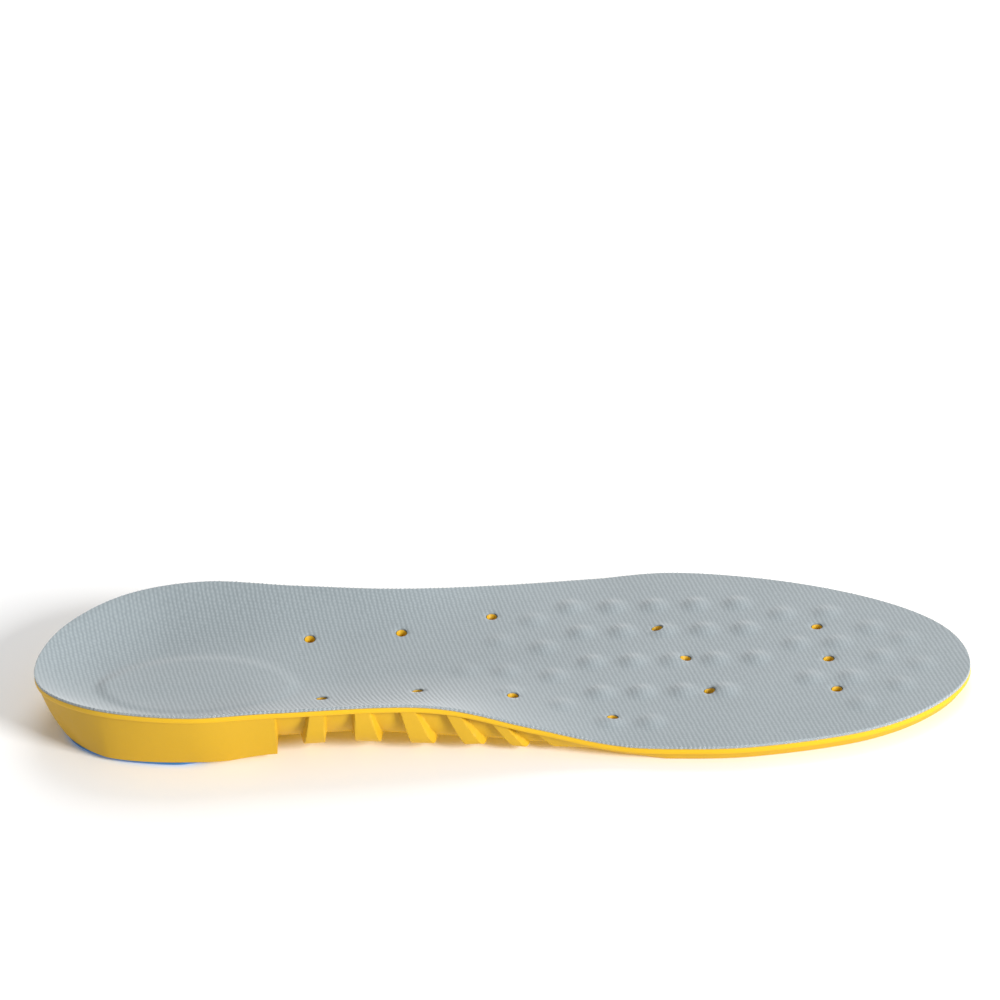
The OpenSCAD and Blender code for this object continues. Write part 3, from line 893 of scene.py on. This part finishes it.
def underside(footbed, s):
    """The height of the foam's lower face, and the lines that its details need."""
    foot = footbed.ring(footbed.rim[:, 4], footbed.foot_z())
    channel = footbed.channel()
    trims = trim_lines(footbed, s)
    fore, heel = smooth_loop(FORE_PAD, 0.8), smooth_loop(HEEL_PAD, 0.8)
    dots = [(DOTS_AT[0] - n * s.trim_step, DOTS_AT[1] + (k - (n - 1) / 2) * DOT_PITCH)
            for n in (1, 2, 3) for k in range(n)]
    ring = circle(MARK_AT, MARK_R - 0.4, 64)
    point = arrow(np.array(MARK_AT), 0)

    def height(p):
        z = footbed.under(p[:, 0])
        d, i = nearest(p, foot)
        here = channel[i]
        floor = s.channel_z * here
        slope = 1 - ease(4.1, 6.3, d)
        z = np.where(here > 0, np.maximum(z, mix(z, np.maximum(z, floor), slope)), z)
        z = z + ridge(d, 3.9, 0.35) * 0.35 * here
        for loop, full in ((fore, 1.0), (heel, ease(*HEEL_SHOULDER, p[:, 0]))):
            d, _ = nearest(p, loop)
            z = z + ((1 - ease(0.4, 1.3, d)) * 0.45 + ridge(d, 2.5, 0.22) * 0.32) * full
        for line in trims:
            d, _ = nearest(p, line, closed=False)
            z = z + (1 - ease(0.1, s.trim_w * 0.6, d)) * s.mark_depth
        for dot in dots:
            r = np.hypot(p[:, 0] - dot[0], p[:, 1] - dot[1])
            z = z + (1 - ease(0.55, 0.95, r)) * s.mark_depth
        d, _ = nearest(p, ring)
        z = z + (1 - ease(0.15, 0.5, d)) * s.mark_depth
        d, _ = nearest(p, point)
        d = np.where(inside(p, point), 0, d)
        z = z + (1 - ease(0.0, 0.4, d)) * s.mark_depth
        return z

    lines = []
    for d in (1.3, 2.6, 3.4, 3.9, 4.4, 5.2, 6.3, 7.2):
        edge = footbed.inward(footbed.rim[:, 4] + d)
        keep = np.flatnonzero((channel > 0) & (edge[:, 0] > -66))
        for part in np.split(keep, np.flatnonzero(np.diff(keep) > 1) + 1):
            lines.append((edge[part][::3], False))
    for loop in (fore, heel):
        for d in (0.7, 1.0, 1.4, 2.1, 2.35, 2.5, 2.65, 2.9):
            lines.append((offset(loop, d), True))
    for line in trims:
        for d in (-0.5, -0.25, 0, 0.25, 0.5):
            lines.append((beside(line, d), False))
    for dot in dots:
        for r in (0.3, 0.55, 0.75, 0.98):
            lines.append((circle(dot, r, 16), True))
    for r in (-1.0, -0.7, -0.52, -0.3, 0, 0.15):
        lines.append((circle(MARK_AT, MARK_R + r, 64), True))
    for grow in (0, 0.4):
        shape = arrow(np.array(MARK_AT), grow)
        lines.append((np.concatenate([np.linspace(a, b, 8)[:-1]
                                      for a, b in zip(shape, np.roll(shape, -1, 0))]), True))
    return height, lines


def points_of(mesh):
    co = np.empty(len(mesh.vertices) * 3, np.float32)
    mesh.vertices.foreach_get("co", co)
    return co.reshape(-1, 3)


def mark(mesh, name, values):
    """Stores one number for each point of a mesh."""
    mesh.attributes.new(name, "FLOAT", "POINT").data.foreach_set("value", values.astype(np.float32))


LIP_BAND = 0.2  # the lip's colour reaches this far in from the rim


def tint_lip(mesh, footbed):
    """Marks the lip's outer band, which the mould leaves smoother and brighter."""
    d, _ = nearest(points_of(mesh)[:, :2].astype(float) / MM, footbed.rim)
    mark(mesh, "lip", d < LIP_BAND)


def build_foam(s):
    """The moulded foam body: top, lip, wall, lower face, recesses and vents."""
    footbed = Footbed(s, arch_spacing=0.3)
    shell = Shell()
    drop = s.cover_t + s.film_t
    rim = footbed.rim_z()
    r = s.vent_d / 2
    outer = footbed.ring(0.0, rim - drop)
    lip = footbed.ring(0.0, rim - drop - s.lip_h)
    top_holes = vent_rings(footbed, r, drop)
    collars = vent_rings(footbed, r, drop - s.collar)
    throats = vent_rings(footbed, r * THROAT, drop - s.collar + THROAT_DEPTH)
    shell.patch(*fill(outer, top_holes, lambda p: footbed.top(p) - drop, spacing=3.0))
    bulge = footbed.ring(-0.12, rim - drop - s.lip_h * 0.5)
    walls = footbed.wall(34)
    shell.strip(outer, outer - (0, 0, 0.1), bulge, lip + (0, 0, 0.25),
                footbed.ring(0.15, lip[:, 2]), walls[0])
    shell.strip(*walls)
    height, lines = underside(footbed, s)
    recesses = []
    for outline, floor in ((FORE_PAD, s.fore_floor + s.fore_pad_t - s.dome_h + s.glue_t),
                           (HEEL_PAD, s.heel_pad_t + s.glue_t)):
        edge = offset(smooth_loop(outline, 0.8), s.pad_gap)
        recesses.append((at_height(edge, height(edge)), at_height(edge, floor), floor))
    lower = []  # each vent's lower end: the number of the recess it opens into, and its ring
    for vent in VENTS:
        ring = circle(vent, r)
        home, z = None, height(ring)
        for k, (mouth, _, floor) in enumerate(recesses):
            if holds(mouth, vent):
                home, z = k, floor
        if home is None:
            lines.append((circle(vent, r + VENT_EDGE), True))
        lower.append((home, at_height(ring, z)))
    own = [ring for home, ring in lower if home is None]
    shell.patch(*fill(walls[-1], [mouth for mouth, _, _ in recesses] + own, height, lines))
    for k, (mouth, base, floor) in enumerate(recesses):
        shell.strip(mouth, base)
        own = [ring for home, ring in lower if home == k]
        shell.patch(*fill(base, own, level(floor), spacing=4.0))
    for top, collar, throat, (_, ring) in zip(top_holes, collars, throats, lower):
        shell.strip(top, collar, throat, ring)
    look = moulded_material("Yellow foam", (0.555, 0.325, 0.011, 1), s.foam_rough, 0.12, 0.06,
                            (0.68, 0.4, 0.006, 1), **{"Specular IOR Level": 0.35})
    mesh = shell.build("foam_body", 36)
    tint_lip(mesh, footbed)
    foam = place("foam_body", mesh, look)
    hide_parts("foam_base")
    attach(foam, "root")


FLANGE_RAMP = (-92, -85)  # the heel pad's flange is full at the heel end and runs out here
SIDE_Z = (0.88, 0.92)  # the pad's side steps back to its recess between these heights


def pad_mesh(name, outline, top, bottom, fillet, flange, spacing, vents, vent_r, mask):
    """A gel pad with a rounded lower edge; mask says where domes may stand."""
    edge = smooth_loop(outline, 0.8)
    wide = flange * (1 - ease(*FLANGE_RAMP, edge[:, 0]))
    shell = Shell()
    steps = [math.radians(a) for a in (0, 30, 60, 90)]
    flat = offset(edge, wide - fillet)
    low = bottom(flat)
    holes = [at_height(circle(v, vent_r), bottom(circle(v, vent_r))) for v in vents]
    shell.patch(*fill(at_height(flat, low), holes, bottom, spacing=spacing))
    curve = [at_height(offset(edge, wide - fillet * (1 - math.sin(a))), low + fillet * (1 - math.cos(a)))
             for a in steps]
    side = [at_height(offset(edge, wide), low + SIDE_Z[0]), at_height(edge, low + SIDE_Z[1])]
    upper = at_height(edge, top)
    shell.strip(*curve, *side, upper)
    lids = [at_height(h, top) for h in holes]
    shell.patch(*fill(upper, lids, level(top), spacing=5.0))
    for hole, lid in zip(holes, lids):
        shell.strip(hole, lid)
    mesh = shell.build(name, 55)
    co = points_of(mesh) / MM
    weight = mask(co[:, :2].astype(float))
    weight[co[:, 2] > top - 0.6] = 0
    mark(mesh, "dome_mask", weight)
    return mesh


GEL_SPACING = 0.55  # fine enough to round the domes


def build_pads(s):
    look = moulded_material("Blue gel", (0.011, 0.145, 0.37, 1), s.gel_rough, 0.10, 0.03,
                            **{"Coat Weight": 0.25, "Coat Roughness": 0.35, "Specular IOR Level": 0.5,
                               "Subsurface Weight": 0.05, "Subsurface Scale": 1.0 * MM})
    tree = dome_tree(look)
    r = s.vent_d / 2
    fore, heel = smooth_loop(FORE_PAD, 0.8), smooth_loop(HEEL_PAD, 0.8)
    field = smooth_loop(HEEL_FIELD, 0.8)

    def field_depth(p):
        """How far a point lies inside the heel pad's sunk field, in millimetres."""
        d, _ = nearest(p, field)
        return np.where(inside(p, field), d, -d)

    def heel_bottom(p):
        return mix(0.0, s.field_d, ease(-0.5, 1.6, field_depth(p)))

    def fore_mask(p):
        d, _ = nearest(p, fore)
        free = ease(0.7, 1.5, d) * inside(p, fore)
        for vent in VENTS:
            free = free * ease(r, r + 0.8, np.hypot(p[:, 0] - vent[0], p[:, 1] - vent[1]))
        return free

    def heel_mask(p):
        d, _ = nearest(p, heel)
        return ease(0.7, 1.5, d) * inside(p, heel) * ease(0.9, 2.0, field_depth(p))

    own = [v for v in VENTS if holds(fore, v)]
    kinds = (
        ("forefoot_gel", "forefoot_pad", FORE_PAD, s.fore_floor - s.dome_h + s.fore_pad_t,
         level(s.fore_floor), own, fore_mask, (39.7, 28), 2.5, 0.35, 0.0),
        ("heel_gel", "heel_pad", HEEL_PAD, s.heel_pad_t,
         heel_bottom, [], heel_mask, (-87.5, 4.5), 4, 0.6, s.flange),
    )
    for name, node, outline, top, bottom, vents, mask, start, turn, fillet, flange in kinds:
        mesh = pad_mesh(name, outline, top, bottom, fillet, flange, GEL_SPACING, vents, r, mask)
        pad = place(name, mesh, look)
        run_tree(pad, tree, {
            "Pitch": s.dome_pitch * MM, "Diameter": s.dome_d * MM, "Height": s.dome_h * MM,
            "Turn": math.radians(turn), "Start X": start[0] * MM, "Start Y": start[1] * MM})
        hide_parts(node)
        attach(pad, "root")


def finish_glue():
    """The adhesive layers stay as the CAD made them and only get a finish."""
    look = moulded_material("Adhesive", (0.72, 0.66, 0.45, 1), 0.35, 0.1, 0.02)
    for node in ("forefoot_adhesive", "heel_adhesive"):
        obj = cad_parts[node]
        for slot in obj.material_slots:
            slot.material = look


def area_light(name, size, power, at):
    """A square lamp aimed at the middle of the insole. One below the floor casts no highlights."""
    data = bpy.data.lights.new(name, "AREA")
    data.size = size
    data.energy = power
    lamp = bpy.data.objects.new(name, data)
    lamp.location = at
    lamp.rotation_euler = (-Vector(at)).to_track_quat("-Z", "Y").to_euler()
    lamp.visible_camera = False
    lamp.visible_glossy = at[2] > 0
    bpy.context.scene.collection.objects.link(lamp)


def floor_material():
    """Pale and plain from above, see-through from below and for the lamps under it."""
    material, t, shader = new_material("Pale floor", {"Base Color": (0.93, 0.93, 0.93, 1), "Roughness": 0.65,
                                                      "Specular IOR Level": 0.2})
    back = t.add("ShaderNodeNewGeometry").outputs["Backfacing"]
    shadow = t.add("ShaderNodeLightPath").outputs["Is Shadow Ray"]
    clear = t.math("MAXIMUM", back, shadow)
    through = t.add("ShaderNodeBsdfTransparent")
    both = t.add("ShaderNodeMixShader", {0: clear, 1: shader.outputs[0], 2: through.outputs[0]})
    out = material.node_tree.nodes["Material Output"]
    t.feed(out, {"Surface": both.outputs[0]})
    return material


def build_stage(s):
    mesh = bpy.data.meshes.new("floor")
    r, z = 4.0, -0.0003  # half the floor's width, and its height just under the insole
    mesh.from_pydata([(-r, -r, z), (r, -r, z), (r, r, z), (-r, r, z)], [], [(0, 1, 2, 3)])
    floor = place("floor", mesh, floor_material())
    world = bpy.data.worlds.new("Studio")
    bpy.context.scene.world = world
    world.use_nodes = True
    sky = world.node_tree.nodes["Background"]
    sky.inputs["Color"].default_value = (1, 1, 1, 1)
    sky.inputs["Strength"].default_value = s.sky
    area_light("Key", 0.6, s.key, (1.5, -1.15, 0.85))
    area_light("Back", 0.8, s.key * 0.12, (0.1, 0.9, 0.8))
    area_light("Below key", 0.5, s.key * 0.09, (-0.15, 0.4, -0.85))
    area_light("Below fill", 0.9, s.key * 0.05, (0.5, -0.3, -0.9))
    place_camera()
    bpy.context.scene.view_settings.view_transform = "Standard"


def place_camera():
    """The viewing angle: low over the arch side, a little from the toe end."""
    azimuth, elevation, roll = (math.radians(a) for a in (2.29, 29.41, -2.67))
    aim = Vector((-3.13, 104.81, 0)) * MM
    back = Vector((math.sin(azimuth) * math.cos(elevation),
                   -math.cos(azimuth) * math.cos(elevation), math.sin(elevation)))
    right = Vector((math.cos(azimuth), math.sin(azimuth), 0))
    up = back.cross(right)
    side = right * math.cos(roll) + up * math.sin(roll)
    rise = up * math.cos(roll) - right * math.sin(roll)
    data = bpy.data.cameras.new("Camera")
    data.lens = 145.0
    data.sensor_width = 36.0
    camera = bpy.data.objects.new("Camera", data)
    turn = Matrix((side, rise, back)).transposed().to_4x4()
    distance = 1.2705
    camera.matrix_world = Matrix.Translation(aim + back * distance) @ turn
    bpy.context.scene.collection.objects.link(camera)
    bpy.context.scene.camera = camera


# ---- settings, operators and panel ----

def in_mm(name, default, text):
    return FloatProperty(name=name, default=default, description=text)


class InsoleSettings(bpy.types.PropertyGroup):
    sole_t: in_mm("Sole thickness", 5.2, "Thickness under the ball of the foot, in mm")
    heel_rim_h: in_mm("Heel rim height", 19.2, "Height of the rim round the heel, in mm")
    heel_lift: in_mm("Heel lift", 1.4, "How much higher the heel seat lies, in mm")
    cover_t: in_mm("Cover", 0.9, "Thickness of the knit, in mm")
    film_t: in_mm("Film", 0.2, "Thickness of the bonding film, in mm")
    lip_h: in_mm("Lip height", 1.6, "Height of the lip under the cover, in mm")
    lip_step: in_mm("Lip step", 0.6, "How far the wall is set back under the lip, in mm")
    heel_clear: in_mm("Heel clearance", 1.0, "Height of the foam under the heel, in mm")
    channel_z: in_mm("Channel height", 2.0, "Height of the waist channels, in mm")
    panel_z: in_mm("Panel height", 0.5, "Height of the waist panel, in mm")
    pockets: IntProperty(name="Pockets", default=6, description="Pockets along the arch")
    pocket_d: in_mm("Pocket depth", 2.6, "Depth of an arch pocket, in mm")
    fore_pad_t: in_mm("Forefoot pad", 2.4, "Thickness of the forefoot pad, in mm")
    fore_floor: in_mm("Forefoot floor", 1.4, "Height of the forefoot pad between its domes, in mm")
    heel_pad_t: in_mm("Heel pad", 3.6, "Thickness of the heel pad, in mm")
    field_d: in_mm("Field depth", 1.5, "Depth of the heel pad's domed field, in mm")
    dome_d: in_mm("Dome diameter", 7.0, "Diameter of one dome, in mm")
    dome_h: in_mm("Dome height", 1.2, "Height of one dome, in mm")
    dome_pitch: in_mm("Dome pitch", 7.95, "Spacing of the domes, in mm")
    glue_t: in_mm("Glue", 0.15, "Thickness of the adhesive, in mm")
    pad_gap: in_mm("Pad gap", 0.4, "Gap round each pad, in mm")
    vent_d: in_mm("Vent diameter", 3.0, "Diameter of the vent holes, in mm")
    trim_step: in_mm("Trim step", 8.5, "Distance between trim lines, in mm")
    trim_w: in_mm("Trim width", 0.8, "Width of a trim line, in mm")
    mark_depth: in_mm("Mark depth", 0.4, "Depth of the trim lines and marks, in mm")
    flange: in_mm("Heel pad flange", 1.0, "How far the heel pad spreads under the foam, in mm")
    collar: in_mm("Vent collar", 0.7, "How far the foam rises round a vent, in mm")
    rib_power: in_mm("Rib squareness", 3.4, "How square an arch rib turns under; 2 is round")
    bump_h: in_mm("Bump height", 1.0, "Height of the bumps under the cover, in mm")
    bump_r: in_mm("Bump radius", 5.2, "Radius of one bump, in mm")
    seat_h: in_mm("Heel seat", 1.7, "Height of the raised heel seat, in mm")


class FinishSettings(bpy.types.PropertyGroup):
    rib_spacing: FloatProperty(name="Rib spacing", default=1.29 * MM, unit="LENGTH", precision=5,
                               description="Distance from one knit rib to the next")
    stitch_spacing: FloatProperty(name="Stitch spacing", default=1.0 * MM, unit="LENGTH", precision=5,
                                  description="Distance from one stitch to the next along a rib")
    rib_turn: FloatProperty(name="Rib turn", default=math.radians(15), subtype="ANGLE",
                            description="How far the ribs are turned on the foot")
    seed: IntProperty(name="Seed", default=4, description="Seed of the edge loops")
    foam_rough: FloatProperty(name="Foam roughness", default=0.5, description="Roughness of the foam")
    gel_rough: FloatProperty(name="Gel roughness", default=0.38, description="Roughness of the gel")
    sky: FloatProperty(name="Sky", default=0.45, description="Strength of the even light")
    key: FloatProperty(name="Key", default=57.0, unit="POWER", description="Power of the key light")


class Settings:
    """Both groups of settings, read as one."""

    def __init__(self, scene):
        self.groups = (scene.insole, scene.insole_finish)

    def __getattr__(self, name):
        for part in self.groups:
            if hasattr(part, name):
                return getattr(part, name)
        raise AttributeError(name)


def operator(idname, label, text, work):
    """An operator class that runs one build function on the scene's settings."""
    def execute(self, context):
        work(Settings(context.scene))
        return {"FINISHED"}
    name = "INSOLE_OT_" + idname
    return type(name, (bpy.types.Operator,), {
        "__doc__": text, "bl_idname": "insole." + idname, "bl_label": label, "execute": execute})


OPERATORS = [
    operator("cover", "Knit cover", "Build the knit cover, its edge loops and the film", build_cover),
    operator("foam", "Foam body", "Build the moulded foam body", build_foam),
    operator("pads", "Gel pads", "Build both gel pads with their domes", build_pads),
    operator("glue", "Adhesive", "Give the adhesive layers their finish", lambda s: finish_glue()),
    operator("stage", "Stage", "Build the floor, the lights and the camera", build_stage),
]


class INSOLE_PT_panel(bpy.types.Panel):
    bl_label = "Cushioned insole"
    bl_space_type = "VIEW_3D"
    bl_region_type = "UI"
    bl_category = "Insole"

    def draw(self, context):
        layout = self.layout
        for part in (context.scene.insole, context.scene.insole_finish):
            for name in part.__annotations__:
                layout.prop(part, name)
        for kind in OPERATORS:
            layout.operator(kind.bl_idname)


CLASSES = [InsoleSettings, FinishSettings, *OPERATORS, INSOLE_PT_panel]


def register():
    for kind in CLASSES:
        bpy.utils.register_class(kind)
    bpy.types.Scene.insole = PointerProperty(type=InsoleSettings)
    bpy.types.Scene.insole_finish = PointerProperty(type=FinishSettings)


def unregister():
    del bpy.types.Scene.insole_finish
    del bpy.types.Scene.insole
    for kind in reversed(CLASSES):
        bpy.utils.unregister_class(kind)


def main():
    register()
    bpy.ops.insole.cover()
    bpy.ops.insole.foam()
    bpy.ops.insole.pads()
    bpy.ops.insole.glue()
    bpy.ops.insole.stage()


if __name__ == "__main__":
    main()
